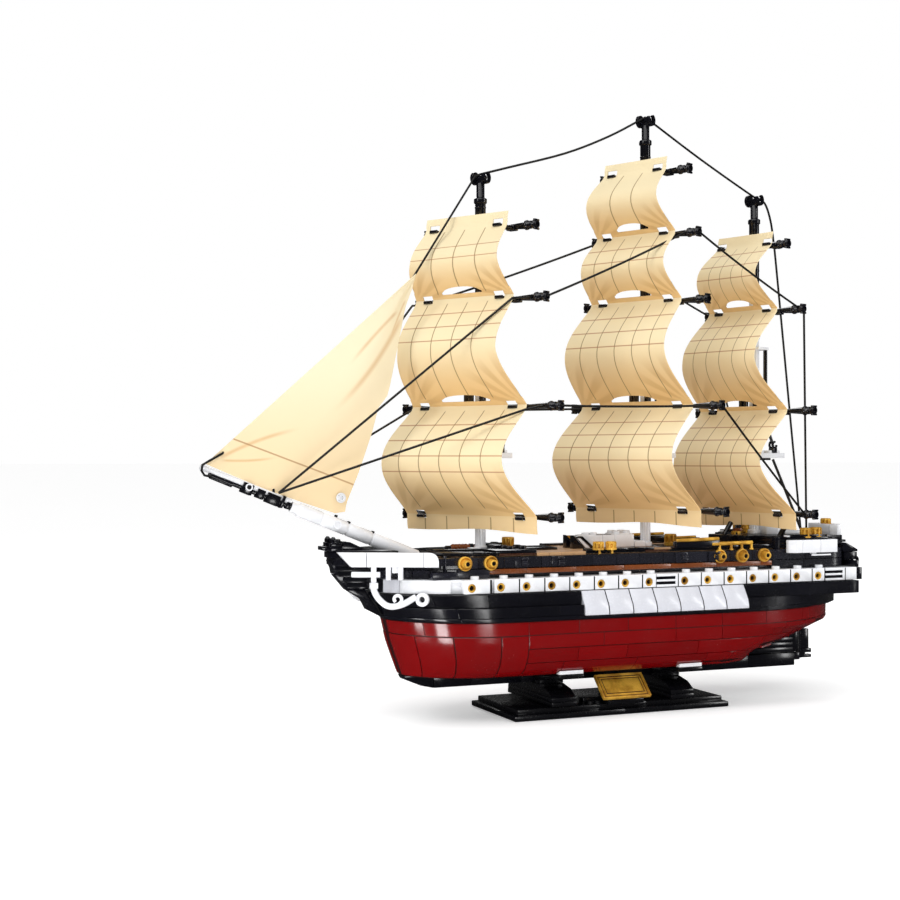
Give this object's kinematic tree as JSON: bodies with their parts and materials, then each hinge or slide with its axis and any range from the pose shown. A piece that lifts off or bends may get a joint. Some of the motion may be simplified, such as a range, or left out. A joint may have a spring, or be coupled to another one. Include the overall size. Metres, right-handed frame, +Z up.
{
  "type": "toy three-masted tall ship on a display stand",
  "caption": "Brick-built toy frigate with three masts of square sails, a jib, black rigging, white gun belt and red bottom, on a black display stand with a blank plate.",
  "frame": {"origin": "middle of the display stand's underside", "axes": "+X towards the bow, +Y to port, +Z up"},
  "size_m": [0.4202, 0.112, 0.3654],
  "materials": {
    "stand_plastic": "glossy black moulded plastic",
    "black_plastic": "glossy black moulded plastic",
    "white_plastic": "glossy white moulded plastic",
    "grey_plastic": "glossy pale grey moulded plastic",
    "red_plastic": "glossy dark red moulded plastic",
    "brown_plastic": "reddish brown moulded plastic",
    "deck_plastic": "tan moulded plastic tiles",
    "gold_plastic": "plated gold plastic",
    "sail_sheet": "thin printed cream sheet with brown seam lines",
    "rigging_cord": "black cord"
  },
  "bodies": {
    "ship": {"stand_base": "stand_plastic", "pedestal_fore": "stand_plastic", "cradle_pad_fore_port": "white_plastic", "cradle_pad_fore_starboard": "white_plastic", "pedestal_aft": "stand_plastic", "cradle_pad_aft_port": "white_plastic", "cradle_pad_aft_starboard": "white_plastic", "name_plate": "gold_plastic", "keel": "black_plastic", "hull_bottom": "red_plastic", "deadwood": "black_plastic", "wale": "black_plastic", "wale_panels_port": "grey_plastic", "wale_panels_starboard": "grey_plastic", "gun_belt": "white_plastic", "strake_port": "brown_plastic", "strake_starboard": "brown_plastic", "bulwark": "black_plastic", "deck": "deck_plastic", "stem": "black_plastic", "bow_wing_port": "white_plastic", "head_rail_port": "white_plastic", "bow_wing_starboard": "white_plastic", "head_rail_starboard": "white_plastic", "bowsprit": "white_plastic", "jib_boom": "black_plastic", "transom": "black_plastic", "fore_lower_mast": "grey_plastic", "fore_topmast": "black_plastic", "fore_yard_1": "black_plastic", "fore_yard_2": "black_plastic", "fore_yard_3": "black_plastic", "fore_yard_4": "black_plastic", "fore_sails": "sail_sheet", "main_lower_mast": "grey_plastic", "main_topmast": "black_plastic", "main_yard_1": "black_plastic", "main_yard_2": "black_plastic", "main_yard_3": "black_plastic", "main_yard_4": "black_plastic", "main_yard_5": "black_plastic", "main_sails": "sail_sheet", "mizzen_lower_mast": "grey_plastic", "mizzen_topmast": "black_plastic", "mizzen_yard_1": "black_plastic", "mizzen_yard_2": "black_plastic", "mizzen_yard_3": "black_plastic", "mizzen_yard_4": "black_plastic", "mizzen_sails": "sail_sheet", "jib": "sail_sheet", "main_stay": "rigging_cord", "long_boat": "white_plastic", "capstan_fore": "gold_plastic", "capstan_main": "gold_plastic", "quarter_boat_port": "white_plastic", "quarter_boat_starboard": "white_plastic", "stern_boat": "white_plastic", "helm": "gold_plastic"},
    "rudder": {"rudder": "black_plastic"}
  },
  "joints": [
    {"name": "rudder_hinge", "type": "hinge", "parent": "ship", "child": "rudder", "pos_m": [-0.146, 0, 0.03], "axis": [0, 0, 1], "range_deg": [-35, 35]}
  ]
}
